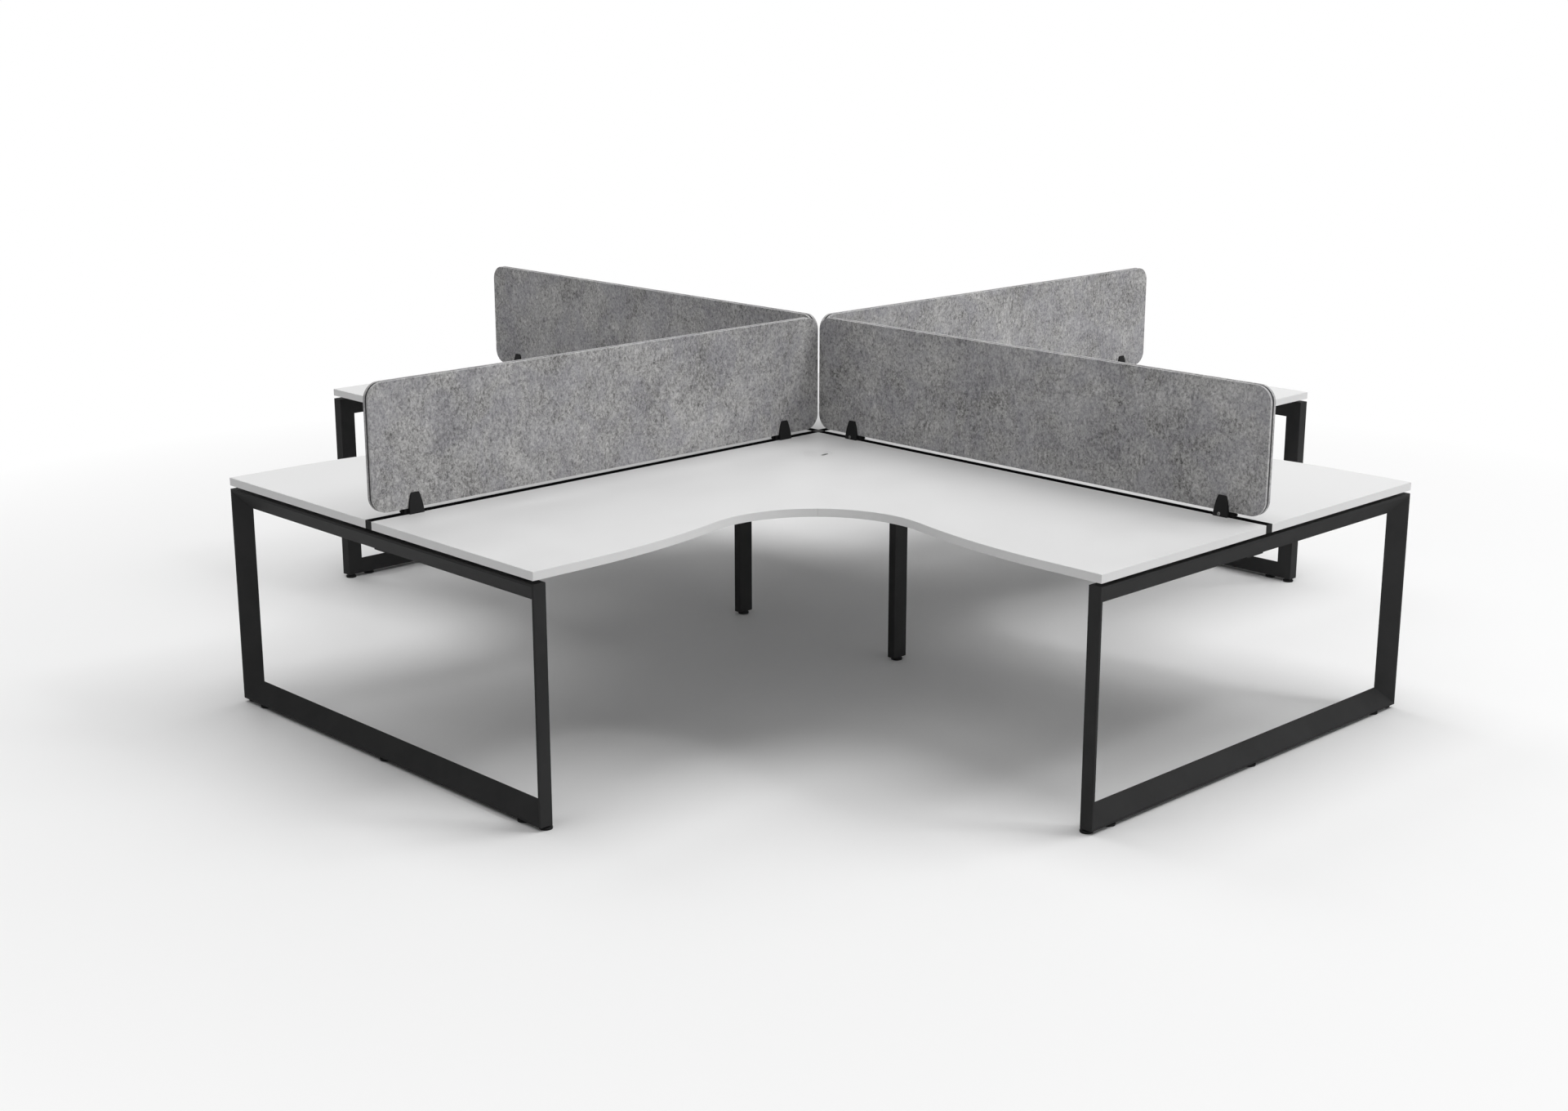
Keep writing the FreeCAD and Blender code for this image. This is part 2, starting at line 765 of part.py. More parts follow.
def jaw(station):
    """The jaw on the screen's -Y side, whose outer face leans towards the screen."""
    base = screen_half + jaw_base_thickness
    tip = screen_half + jaw_top_thickness
    body = Part.Face(jaw_outline(station, -base)).extrude(Y * jaw_base_thickness)
    lean = (jaw_base_thickness - jaw_top_thickness) / jaw_height
    out = base + overrun
    wedge = prism([V(station - jaw_base_width, -base + lean * -overrun, desk_height - overrun),
                   V(station - jaw_base_width, -out, desk_height - overrun),
                   V(station - jaw_base_width, -out, desk_height + jaw_height + overrun),
                   V(station - jaw_base_width, -tip + lean * overrun, desk_height + jaw_height + overrun)],
                  X * (jaw_base_width + jaw_base_width))
    leaning = body.cut(wedge)
    above_base = [edge for edge in leaning.Edges if edge.BoundBox.ZMax > desk_height + jaw_edge_radius]
    outer_edges = [edge for edge in above_base if edge.BoundBox.YMax < -screen_half]
    return leaning.makeFillet(jaw_edge_radius, outer_edges)


def jaw_screw_place(station):
    seat = screen_half + jaw_base_thickness - jaw_edge_radius - jaw_screw_head_height
    return V(station - jaw_screw_in, -seat, desk_height + jaw_screw_height)


def jaw_screw_cutters(station):
    place = jaw_screw_place(station)
    shank = rod(jaw_screw_radius, place, Y, jaw_screw_reach + screen_half)
    head = rod(jaw_screw_head_radius, place - Y * (jaw_screw_head_height + overrun), Y,
               jaw_screw_head_height + overrun)
    return [shank, head]


def front_jaw(station):
    """The loose jaw, with a lug that reaches under the screen to the saddle."""
    lug = slab((station - saddle_back, station + saddle_back),
               (-screen_half, -saddle_half_width), (desk_height, desk_height + saddle_height))
    return cut_all(jaw(station).fuse(lug), jaw_screw_cutters(station))


def clamp_body(station):
    """The saddle on the gap rail, made in one with the rear jaw."""
    rear_jaw = jaw(station).mirror(V(0, 0, 0), Y)
    saddle = slab((station - saddle_back, station + saddle_front),
                  (-saddle_half_width, saddle_half_width), (desk_height, desk_height + saddle_height))
    lug = slab((station - saddle_back, station + saddle_back),
               (saddle_half_width, screen_half), (desk_height, desk_height + saddle_height))
    place = hold_bolt_place(station)
    bolt_hole = rod(hold_bolt_radius, place, Z, saddle_height)
    bolt_seat = rod(hold_bolt_head_radius + hold_bolt_clearance, place + Z * hold_bolt_seat, Z,
                    saddle_height)
    thumb_hole = rod(thumb_shank_radius, thumb_place(station), X * -1, thumb_shank_length)
    cutters = jaw_screw_cutters(station)[:1] + [bolt_hole, bolt_seat, thumb_hole]
    return cut_all(rear_jaw.fuse(saddle).fuse(lug), cutters)


def jaw_screw(station):
    return bolt(jaw_screw_radius, jaw_screw_head_radius, jaw_screw_head_height,
                jaw_screw_place(station), Y, jaw_screw_reach)


def thumb_place(station):
    return V(station + saddle_front, 0, desk_height + thumb_height)


def thumb_screw(station):
    place = thumb_place(station)
    head = rod(thumb_radius, place, X, thumb_length)
    head = head.makeFillet(jaw_edge_radius, [e for e in head.Edges if len(e.Vertexes) == 1])
    return head.fuse(rod(thumb_shank_radius, place, X * -1, thumb_shank_length))


def hold_bolt(station):
    """The bolt from the saddle down through the gap rail into the plate under the worktops."""
    seat = hold_bolt_place(station) + Z * hold_bolt_seat
    length = hold_bolt_seat + top_thickness + clamp_plate_thickness + hold_bolt_tail
    return bolt(hold_bolt_radius, hold_bolt_head_radius, hold_bolt_head_height, seat, Z * -1, length)


def clamp_plate(station):
    place = hold_bolt_place(station)
    base = top_underside - clamp_plate_thickness
    plate = slab((place.x - clamp_plate_length / 2, place.x + clamp_plate_length / 2),
                 (-clamp_plate_width / 2, clamp_plate_width / 2), (base, top_underside))
    return plate.cut(rod(hold_bolt_radius, V(place.x, 0, base), Z, clamp_plate_thickness))


# Cable grommets

def grommet_liner():
    """The front worktop's liner: a flush flange with a seat for the cap, and a sleeve."""
    centre = grommet_centre()
    seat = desk_height - grommet_flange_thickness
    flange = rod(grommet_flange_radius, centre + Z * seat, Z, grommet_flange_thickness)
    sleeve = rod(grommet_sleeve_radius, centre + Z * (desk_height - grommet_sleeve_depth), Z,
                 grommet_sleeve_depth)
    bore = rod(grommet_bore_radius, centre + Z * (desk_height - grommet_sleeve_depth), Z,
               grommet_sleeve_depth)
    recess = rod(grommet_seat_radius, centre + Z * seat, Z, grommet_flange_thickness)
    return cut_all(flange.fuse(sleeve), [bore, recess])


def grommet_cap():
    """The turning cap: a disc, a skirt that turns in the liner, and a cable slot."""
    centre = grommet_centre()
    seat = desk_height - grommet_flange_thickness
    disc = rod(grommet_seat_radius - cap_clearance, centre + Z * seat, Z, grommet_flange_thickness)
    skirt_radius = grommet_bore_radius - cap_clearance
    skirt = tube(skirt_radius, skirt_radius - cap_skirt_wall, centre + Z * (seat - cap_skirt_depth), Z,
                 cap_skirt_depth)
    half_width = cap_slot_width / 2
    straight = cap_slot_length / 2 - half_width
    cut_depth = grommet_flange_thickness + overrun + overrun
    slot = slab((cap_slot_offset - half_width, cap_slot_offset + half_width), (-straight, straight),
                (seat - overrun, seat - overrun + cut_depth))
    for end in (-straight, straight):
        slot = slot.fuse(rod(half_width, V(cap_slot_offset, end, seat - overrun), Z, cut_depth))
    slot.rotate(V(0, 0, 0), Z, cap_slot_angle)
    slot.translate(centre)
    return disc.cut(slot).fuse(skirt).removeSplitter()


def main():
    os.makedirs("parts", exist_ok=True)
    board = worktop()
    band = edge_band()
    cap = grommet_cap()
    liner = grommet_liner()
    for quarter, name in enumerate(WORKTOPS):
        save("worktop_" + name, turned(board, quarter))
        save("edge_band_" + name, turned(band, quarter))
        save("grommet_cap_" + name, turned(cap, quarter))
    save("grommet_liners", group([turned(liner, quarter) for quarter in range(len(WORKTOPS))]))

    leg = loop_leg()
    rail = gap_rail()
    core = screen_core()
    felts = screen_felts()
    feet = [levelling_foot(place) for place in corner_foot_places()]
    for quarter, name in enumerate(ARMS):
        save("loop_leg_" + name, turned(leg, quarter))
        save("gap_rail_" + name, turned(rail, quarter))
        save("screen_core_" + name, turned(core, quarter))
        save("screen_felt_" + name, turned(felts, quarter))
        for number, foot in enumerate(feet, start=1):
            save("levelling_foot_" + name + "_" + str(number), turned(foot, quarter))
    save("loop_glides", group(for_each_arm(lambda: [glide(place) for place in glide_places()])))
    save("foot_inserts", group(for_each_arm(lambda: [foot_insert(p) for p in corner_foot_places()])))

    post = middle_post()
    plug = post_plug()
    post_foot = levelling_foot(V(post_reach, 0, 0))
    post_arms = (0, 2)
    for quarter in post_arms:
        save("middle_post_" + ARMS[quarter], turned(post, quarter))
        save("post_foot_" + ARMS[quarter], turned(post_foot, quarter))
    save("post_plugs", group([turned(plug, quarter) for quarter in post_arms]))

    beams = []
    bolts = for_each_arm(arm_bolts)
    for quarter in range(len(ARMS)):
        beams += [turned(piece, quarter) for piece in beam(quarter in post_arms)]
    for quarter in post_arms:
        bolts += [turned(piece, quarter) for piece in post_bolts()]
    save("beams", group(beams))
    save("centre_hub", hub())
    save("cross_plates", group(for_each_arm(cross_plates)))
    save("frame_bolts", group(bolts))
    hub_spacers = [spacer(x, y) for x, y in hub_spacer_places()]
    hub_screws = [worktop_screw(x, y, worktop_bite if x else rail_bite) for x, y in hub_spacer_places()]
    save("spacers", group(for_each_arm(arm_spacers) + hub_spacers))
    save("worktop_screws", group(for_each_arm(arm_screws) + hub_screws))

    save("rail_end_caps", group(for_each_arm(lambda: [rail_end_cap()])))
    save("rail_centre_cap", centre_cap())
    clamp_pieces = {
        "clamp_bodies": clamp_body,
        "clamp_front_jaws": front_jaw,
        "clamp_jaw_screws": jaw_screw,
        "clamp_thumb_screws": thumb_screw,
        "clamp_hold_bolts": hold_bolt,
        "clamp_plates": clamp_plate,
    }
    for name, make in clamp_pieces.items():
        pieces = [make(station) for station in clamp_stations]
        save(name, group(for_each_arm(lambda: pieces)))


main()
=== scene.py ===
import json
import math

import bmesh
import bpy
from bpy.props import FloatProperty, FloatVectorProperty, IntProperty, PointerProperty
from mathutils import Matrix, Vector, noise


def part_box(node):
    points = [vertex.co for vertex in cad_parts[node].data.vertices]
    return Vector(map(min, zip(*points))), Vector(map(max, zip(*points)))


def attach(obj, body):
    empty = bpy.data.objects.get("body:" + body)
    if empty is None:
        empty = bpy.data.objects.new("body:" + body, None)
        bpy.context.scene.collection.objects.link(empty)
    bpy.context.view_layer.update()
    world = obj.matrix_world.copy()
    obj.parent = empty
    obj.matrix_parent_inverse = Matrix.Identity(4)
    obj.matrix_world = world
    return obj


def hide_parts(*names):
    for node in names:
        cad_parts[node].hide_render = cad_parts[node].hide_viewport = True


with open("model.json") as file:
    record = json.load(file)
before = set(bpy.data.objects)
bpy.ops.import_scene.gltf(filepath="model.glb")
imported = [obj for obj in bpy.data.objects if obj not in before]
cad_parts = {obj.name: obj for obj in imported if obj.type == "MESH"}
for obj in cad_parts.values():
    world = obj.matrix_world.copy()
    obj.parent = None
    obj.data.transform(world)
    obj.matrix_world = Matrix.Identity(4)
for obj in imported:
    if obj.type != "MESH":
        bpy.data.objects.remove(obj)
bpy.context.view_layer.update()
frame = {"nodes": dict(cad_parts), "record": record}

bl_info = {
    "name": "Four-desk workstation finishes",
    "version": (1, 0, 0),
    "blender": (4, 5, 0),
    "location": "View3D > Sidebar > Workstation",
    "description": "Dresses the packed desks, loop legs, felt screens and clamps, and sets their stage",
    "category": "Object",
}

# Metres, Z up, origin on the floor at the middle of the cross.
ARMS = ("front_right", "back_right", "back_left", "front_left")
WORKTOPS = ("front", "right", "back", "left")
POST_ARMS = ("front_right", "back_left")
QUARTER = math.pi / 2
# The body of every piece that doesn't move
FIXED_BODY = "frame"
# The mark on the faces of a felt sheet's cut edge, where the felt gets a painted highlight. They face
# across the sheet by less than CUT_LEAN
CUT_EDGE = "cut_edge"
CUT_LEAN = 0.95
# How much of the cool fibres shows in the felt's colour, and how much of the painted highlight, a paler
# tint that stands for light caught on the cut edge
COOL_SHARE = 0.35
CUT_HIGHLIGHT_SHARE = 0.2
# Rises and falls of a felt sheet's face in a metre
FELT_WAVES = 5.0
# How much of a hard finish's roughness follows its slow drift. The rest follows its fine grain
DRIFT_SHARE = 0.6
# An edge that turns by more degrees than this is sharp: as a rule, on welds, on felt, on a ribbed grip
SHARP_DEGREES = 35.0
WELD_DEGREES = 25.0
FELT_DEGREES = 60.0
GRIP_DEGREES = 20.0
# Faces that turn by fewer degrees than this are one flat
FLAT_DEGREES = 0.4
# Distances that count as none, in metres: between two corners, from a cut, and from the seam
MERGE_REACH = 0.000002
CUT_REACH = 0.000001
SEAM_REACH = 0.00001
# Differences that count as none: between the parts of two directions, and, as a share, of two radii
SAME_DIRECTION = 0.001
SAME_RADIUS = 0.02
# Faces round a turned screw, stud or stem. A pad has twice as many
ROUND_STEPS = 24
HEXAGON = 6
# Radii of a foot's stud and of a glide's stem, low and high, as shares of the pad's radius
STUD_SHARE = 0.21
STEM_SHARES = (0.262, 0.236)
SLOTS = {part["node"]: part["material_slot"] for part in frame["record"]["subparts"]}


# Sizes and colours that a user would change

def length(name, description, default):
    return FloatProperty(name=name, description=description, default=default, min=0.0, unit="LENGTH",
                         precision=5)


def colour(name, description, default):
    return FloatVectorProperty(name=name, description=description, default=default, size=3, min=0.0,
                               max=1.0, subtype="COLOR")


class WorkstationSizes(bpy.types.PropertyGroup):
    top_edge: length("Worktop edge radius", "Rounding on the outer edges of the edge band", 0.0009)
    joint_edge: length("Joint edge", "Easing beside the line where the band meets the board", 0.00025)
    band_seam: length("Band seam", "Gap between the ends of the two strips of edge band", 0.0006)
    metal_edge: length("Metal edge", "Easing on the sharp edges of rails, plates and caps", 0.0004)
    felt_corner: length("Felt corner radius", "Radius of a felt sheet's four corners", 0.05)
    felt_edge: length("Felt edge radius", "Rounding on the cut edge of a felt sheet", 0.0016)
    felt_wave: length("Felt wave", "How far a felt sheet's face rises and falls", 0.0003)
    felt_cell: length("Felt cell", "Spacing of the cuts across a felt sheet", 0.045)
    thread_pitch: length("Thread pitch", "Pitch of the thread on the feet's studs", 0.00125)
    grip_ribs: IntProperty(name="Grip ribs", description="Ribs round a thumb screw's head", default=16,
                           min=6, max=60)


class WorkstationColours(bpy.types.PropertyGroup):
    board: colour("Board", "White laminate of the worktops", (0.655, 0.655, 0.655))
    band: colour("Edge band", "White edge band", (0.72, 0.72, 0.72))
    white_plastic: colour("White plastic", "Grommet liners and caps", (0.65, 0.65, 0.65))
    coated_steel: colour("Coated steel", "Black powder coat on legs, posts and beams",
                         (0.0345, 0.0345, 0.0348))
    rail: colour("Gap rail", "Black finish of the gap rails", (0.008, 0.008, 0.0085))
    felt_light: colour("Light fibres", "Pale fibres of the felt", (0.651, 0.645, 0.64))
    felt_dark: colour("Dark fibres", "Dark fibres of the felt", (0.088, 0.086, 0.085))
    felt_cool: colour("Cool fibres", "Bluish fibres in the felt", (0.31, 0.308, 0.35))
    core: colour("Screen core", "Dark board between two felt sheets", (0.05, 0.05, 0.052))
    clamp: colour("Clamps", "Black finish of the cast clamps", (0.018, 0.018, 0.0185))
    black_plastic: colour("Black plastic", "Spacers and rail caps", (0.022, 0.022, 0.0225))
    foot_plastic: colour("Foot plastic", "Feet and glides", (0.014, 0.014, 0.0145))
    steel: colour("Plated steel", "Zinc plated screws and studs", (0.24, 0.24, 0.236))
    floor: colour("Floor", "Plain pale floor", (0.86, 0.86, 0.86))


def sizes():
    return bpy.context.scene.workstation_sizes


def colours():
    return bpy.context.scene.workstation_colours


# Node groups and materials

class Graph:
    """Adds nodes to a tree. Each named input takes a value or the socket that feeds it."""

    def __init__(self, tree):
        self.tree = tree

    def add(self, kind, inputs=None, **settings):
        node = self.tree.nodes.new(kind)
        for key, value in settings.items():
            setattr(node, key, value)
        for socket, value in (inputs or {}).items():
            if isinstance(value, bpy.types.NodeSocket):
                self.link(value, node.inputs[socket])
            else:
                node.inputs[socket].default_value = value
        return node

    def link(self, source, target):
        self.tree.links.new(source, target)

    def maths(self, operation, first, second):
        return self.add("ShaderNodeMath", {0: first, 1: second}, operation=operation).outputs[0]

    def times(self, first, second):
        return self.maths("MULTIPLY", first, second)

    def plus(self, first, second):
        return self.maths("ADD", first, second)

    def spread(self, value, low, high, to_low=0.0, to_high=1.0):
        """The value, carried from one range to another and held within it."""
        inputs = {"Value": value, "From Min": low, "From Max": high, "To Min": to_low, "To Max": to_high}
        return self.add("ShaderNodeMapRange", inputs).outputs[0]

    def noise(self, vector, scale, detail, roughness, distortion=0.0):
        inputs = {"Vector": vector, "Scale": scale, "Detail": detail, "Roughness": roughness,
                  "Distortion": distortion}
        return self.add("ShaderNodeTexNoise", inputs).outputs[0]

    def between(self, mask, first, second):
        """A colour that goes from the first to the second with the mask."""
        node = self.add("ShaderNodeMix", {0: mask, 6: first, 7: second}, data_type="RGBA")
        return node.outputs[2]

    def group(self, tree, inputs):
        return self.add("ShaderNodeGroup", inputs, node_tree=tree).outputs


def new_group(name, inputs, outputs):
    """An empty node group with its sockets, as its graph and the sockets of its two end nodes."""
    tree = bpy.data.node_groups.new(name, "ShaderNodeTree")
    tree.interface.new_socket("Vector", in_out="INPUT", socket_type="NodeSocketVector")
    for label, default in inputs.items():
        socket = tree.interface.new_socket(label, in_out="INPUT", socket_type="NodeSocketFloat")
        socket.default_value = default
    for label in outputs:
        tree.interface.new_socket(label, in_out="OUTPUT", socket_type="NodeSocketFloat")
    return Graph(tree), tree.nodes.new("NodeGroupInput").outputs, tree.nodes.new("NodeGroupOutput").inputs


def fine_grain():
    """Fine pebbled grain with a slow drift over it, for laminate, coatings and moulded plastic."""
    if "Fine grain" in bpy.data.node_groups:
        return bpy.data.node_groups["Fine grain"]
    graph, given, result = new_group("Fine grain", {"Grain scale": 900.0, "Drift scale": 6.0},
                                     ["Grain", "Drift"])
    grain = graph.noise(given["Vector"], given["Grain scale"], 3.0, 0.55)
    drift = graph.noise(given["Vector"], given["Drift scale"], 4.0, 0.6, 0.4)
    graph.link(graph.spread(grain, 0.3, 0.7), result["Grain"])
    graph.link(graph.spread(drift, 0.35, 0.65), result["Drift"])
    return graph.tree


def felt_fibres():
    """Pressed felt: curled strands a little drawn out in height, clumps of fibre and broad patches."""
    if "Felt fibres" in bpy.data.node_groups:
        return bpy.data.node_groups["Felt fibres"]
    graph, given, result = new_group(
        "Felt fibres", {"Strand scale": 130.0, "Clump scale": 45.0, "Patch scale": 5.0},
        ["Tone", "Cool", "Height"])
    drawn_out = {"Vector": given["Vector"], "Scale": (1.0, 1.0, 0.78)}
    tall = graph.add("ShaderNodeMapping", drawn_out).outputs[0]
    strands = graph.noise(tall, given["Strand scale"], 4.0, 0.6, 0.9)
    clumps = graph.noise(tall, given["Clump scale"], 4.0, 0.6, 1.3)
    patches = graph.noise(given["Vector"], given["Patch scale"], 2.0, 0.5, 0.5)
    fuzz = graph.noise(tall, graph.times(given["Strand scale"], 5.0), 3.0, 0.7, 0.6)
    tone = graph.times(graph.spread(strands, 0.28, 0.72), 0.46)
    for layer, low, high, share in ((clumps, 0.28, 0.72, 0.27), (patches, 0.3, 0.7, 0.15),
                                    (fuzz, 0.28, 0.72, 0.12)):
        tone = graph.plus(tone, graph.times(graph.spread(layer, low, high), share))
    graph.link(tone, result["Tone"])
    cool = graph.noise(given["Vector"], graph.times(given["Patch scale"], 1.6), 5.0, 0.6, 0.8)
    graph.link(graph.spread(cool, 0.42, 0.62), result["Cool"])
    graph.link(graph.plus(graph.times(strands, 0.6), graph.times(fuzz, 0.4)), result["Height"])
    return graph.tree


def blank_material(name):
    """A material with no shader yet: its graph, the place on the object, and the socket for a shader."""
    material = bpy.data.materials.new(name)
    material.use_nodes = True
    material.node_tree.nodes.clear()
    graph = Graph(material.node_tree)
    place = graph.add("ShaderNodeTexCoord").outputs["Object"]
    return material, graph, place, graph.add("ShaderNodeOutputMaterial").inputs["Surface"]


def principled_material(name):
    material, graph, place, surface = blank_material(name)
    shader = graph.add("ShaderNodeBsdfPrincipled")
    graph.link(shader.outputs[0], surface)
    return material, graph, shader, place


def shaded(rgb, share):
    return tuple(channel * share for channel in rgb) + (1.0,)


def hard_finish(name, tint, rough, grain_scale, relief, tone, metallic=0.0, specular=0.5):
    """Laminate, powder coat, moulded plastic or plated steel, with its fine grain."""
    rgb = getattr(colours(), tint)
    material, graph, shader, place = principled_material(name)
    grain = graph.group(fine_grain(), {"Vector": place, "Grain scale": grain_scale})
    graph.link(graph.between(grain["Drift"], shaded(rgb, tone[0]), shaded(rgb, tone[1])),
               shader.inputs["Base Color"])
    mixed = graph.plus(graph.times(grain["Drift"], DRIFT_SHARE),
                       graph.times(grain["Grain"], 1.0 - DRIFT_SHARE))
    graph.link(graph.spread(mixed, 0.0, 1.0, rough[0], rough[1]), shader.inputs["Roughness"])
    bump = graph.add("ShaderNodeBump", {"Strength": 1.0, "Distance": relief, "Height": grain["Grain"]})
    graph.link(bump.outputs[0], shader.inputs["Normal"])
    shader.inputs["Metallic"].default_value = metallic
    shader.inputs["Specular IOR Level"].default_value = specular
    return material


def felt_finish(name, light, dark, cool, strand_scale, relief):
    """Pressed felt, or the matted board between two sheets of it. The felt's cut edge gets a painted
    highlight.
    """
    tints = colours()
    material, graph, shader, place = principled_material(name)
    felt = graph.group(felt_fibres(), {"Vector": place, "Strand scale": strand_scale})
    share = graph.spread(felt["Tone"], 0.2, 0.8)
    tone = graph.between(share, shaded(getattr(tints, dark), 1.0), shaded(getattr(tints, light), 1.0))
    tinted = graph.between(graph.times(felt["Cool"], COOL_SHARE), tone, shaded(getattr(tints, cool), 1.0))
    # Painted highlight: the cut edge's faces are tinted paler, towards the light fibres made brighter
    # still, to stand for light caught on the edge
    edge = graph.add("ShaderNodeAttribute", attribute_name=CUT_EDGE).outputs["Fac"]
    pale = graph.between(graph.times(edge, CUT_HIGHLIGHT_SHARE), tinted, shaded(getattr(tints, light), 1.1))
    graph.link(pale, shader.inputs["Base Color"])
    graph.link(graph.spread(felt["Tone"], 0.0, 1.0, 0.86, 1.0), shader.inputs["Roughness"])
    bump = graph.add("ShaderNodeBump", {"Strength": 1.0, "Distance": relief, "Height": felt["Height"]})
    graph.link(bump.outputs[0], shader.inputs["Normal"])
    shader.inputs["Specular IOR Level"].default_value = 0.1
    return material


# What each material slot of the record is made of: its name, its colour, the roughness of its smooth
# and rough spots, grains, relief in metres, the darkest and palest share of its colour, metal, gloss
HARD_FINISHES = {
    "white_board": ("Worktop laminate", "board", (0.42, 0.54), 1400.0, 0.00003, (0.985, 1.0)),
    "white_edge": ("White edge band", "band", (0.40, 0.50), 1100.0, 0.00003, (0.985, 1.0)),
    "white_plastic": ("White grommet plastic", "white_plastic", (0.34, 0.44), 1600.0, 0.00003, (0.98, 1.0)),
    "black_powder_coat": ("Black powder coat", "coated_steel", (0.46, 0.58), 1000.0, 0.00005,
                          (0.9, 1.1), 0.0, 0.03),
    "black_anodised": ("Black gap rail", "rail", (0.42, 0.52), 1500.0, 0.00003, (0.9, 1.1), 0.0, 0.0),
    "clamp_black": ("Black cast clamp", "clamp", (0.50, 0.62), 1300.0, 0.00006, (0.85, 1.1), 0.0, 0.08),
    "black_plastic": ("Black plastic", "black_plastic", (0.46, 0.58), 1600.0, 0.00004, (0.85, 1.1),
                      0.0, 0.05),
    "foot_plastic": ("Foot plastic", "foot_plastic", (0.48, 0.62), 1200.0, 0.00005, (0.8, 1.1), 0.0, 0.1),
    "zinc_steel": ("Zinc plated steel", "steel", (0.34, 0.48), 700.0, 0.00002, (0.8, 1.0), 1.0),
}
# Name, pale, dark and cool fibres, strands and relief in metres
FELT_FINISHES = {
    "grey_felt": ("Pressed grey felt", "felt_light", "felt_dark", "felt_cool", 145.0, 0.0004),
    "screen_core": ("Dark screen core", "core", "core", "core", 420.0, 0.0003),
}


def finish(slot):
    """The material of one of the record's slots, made when a piece first asks for it."""
    make = hard_finish if slot in HARD_FINISHES else felt_finish
    recipe = HARD_FINISHES.get(slot) or FELT_FINISHES[slot]
    return bpy.data.materials.get(recipe[0]) or make(*recipe)


# Meshes

def keep_node(*nodes):
    """A CAD node whose shape is right stays, with its detailed finish."""
    for node in nodes:
        thing = frame["nodes"][node]
        thing.data.materials.clear()
        thing.data.materials.append(finish(SLOTS[node]))


def merged(node):
    """A merged copy of a CAD node's mesh."""
    mesh = bmesh.new()
    mesh.from_mesh(frame["nodes"][node].data)
    bmesh.ops.remove_doubles(mesh, verts=mesh.verts, dist=MERGE_REACH)
    return mesh


def make_flats_whole(mesh):
    bmesh.ops.dissolve_limit(mesh, angle_limit=math.radians(FLAT_DEGREES), verts=mesh.verts,
                             edges=mesh.edges, use_dissolve_boundaries=False, delimit={"NORMAL"})


def sharp_edges(mesh):
    limit = math.radians(SHARP_DEGREES)
    return [edge for edge in mesh.edges if edge.is_manifold and edge.calc_face_angle() > limit]


def ease(mesh, edges, width, segments):
    bmesh.ops.bevel(mesh, geom=edges, offset=width, offset_type="OFFSET", segments=segments, profile=0.5,
                    affect="EDGES", clamp_overlap=True, material=-1)


def join(whole, part):
    """Adds a copy of a part to a mesh."""
    data = bpy.data.meshes.new("part")
    part.to_mesh(data)
    whole.from_mesh(data)
    bpy.data.meshes.remove(data)


def turn(mesh, quarter):
    about_z = Matrix.Rotation(QUARTER * quarter, 3, "Z")
    bmesh.ops.rotate(mesh, verts=mesh.verts, cent=(0, 0, 0), matrix=about_z)


def spun(mesh, profile, steps):
    """Turns a profile of radii and heights about the Z axis, with its two ends left open."""
    verts = [mesh.verts.new((radius, 0.0, height)) for radius, height in profile]
    edges = [mesh.edges.new(pair) for pair in zip(verts, verts[1:])]
    bmesh.ops.spin(mesh, geom=verts + edges, cent=(0, 0, 0), axis=(0, 0, 1), angle=math.tau, steps=steps,
                   use_merge=True, use_duplicate=False)


def close(mesh):
    """Fills what is open in a mesh and turns its faces outwards."""
    bmesh.ops.holes_fill(mesh, edges=[edge for edge in mesh.edges if edge.is_boundary], sides=0)
    bmesh.ops.recalc_face_normals(mesh, faces=mesh.faces)


def finished(name, mesh, slot, body, *nodes, smooth=SHARP_DEGREES):
    """Makes the object of a finished piece, on its body, and hides the CAD nodes that it stands for."""
    data = bpy.data.meshes.new(name)
    mesh.to_mesh(data)
    mesh.free()
    data.polygons.foreach_set("use_smooth", [True] * len(data.polygons))
    data.set_sharp_from_angle(angle=math.radians(smooth))
    data.materials.append(finish(slot))
    piece = bpy.data.objects.new(name, data)
    bpy.context.scene.collection.objects.link(piece)
    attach(piece, body)
    if nodes:
        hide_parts(*nodes)
    weights = piece.modifiers.new("Even shading", "WEIGHTED_NORMAL")
    weights.keep_sharp = True
    return piece


def softened(node, width, segments=2, body=FIXED_BODY):
    """A CAD node's copy with its sharp edges eased."""
    mesh = merged(node)
    make_flats_whole(mesh)
    ease(mesh, sharp_edges(mesh), width, segments)
    return finished(node + "_eased", mesh, SLOTS[node], body, node)


def middle(node):
    low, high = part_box(node)
    return (low + high) / 2


# Turned pieces that stand where the CAD pieces stand

def loose_parts(mesh):
    """The corners of each separate solid of a mesh."""
    left = set(mesh.verts)
    parts = []
    while left:
        found = {left.pop()}
        queue = list(found)
        while queue:
            near = {vert for edge in queue.pop().link_edges for vert in edge.verts} - found
            found |= near
            queue += near
        left -= found
        parts.append([vert.co.copy() for vert in found])
    return parts


def box_round(corners):
    low = Vector([min(corner[i] for corner in corners) for i in range(3)])
    high = Vector([max(corner[i] for corner in corners) for i in range(3)])
    return low, high


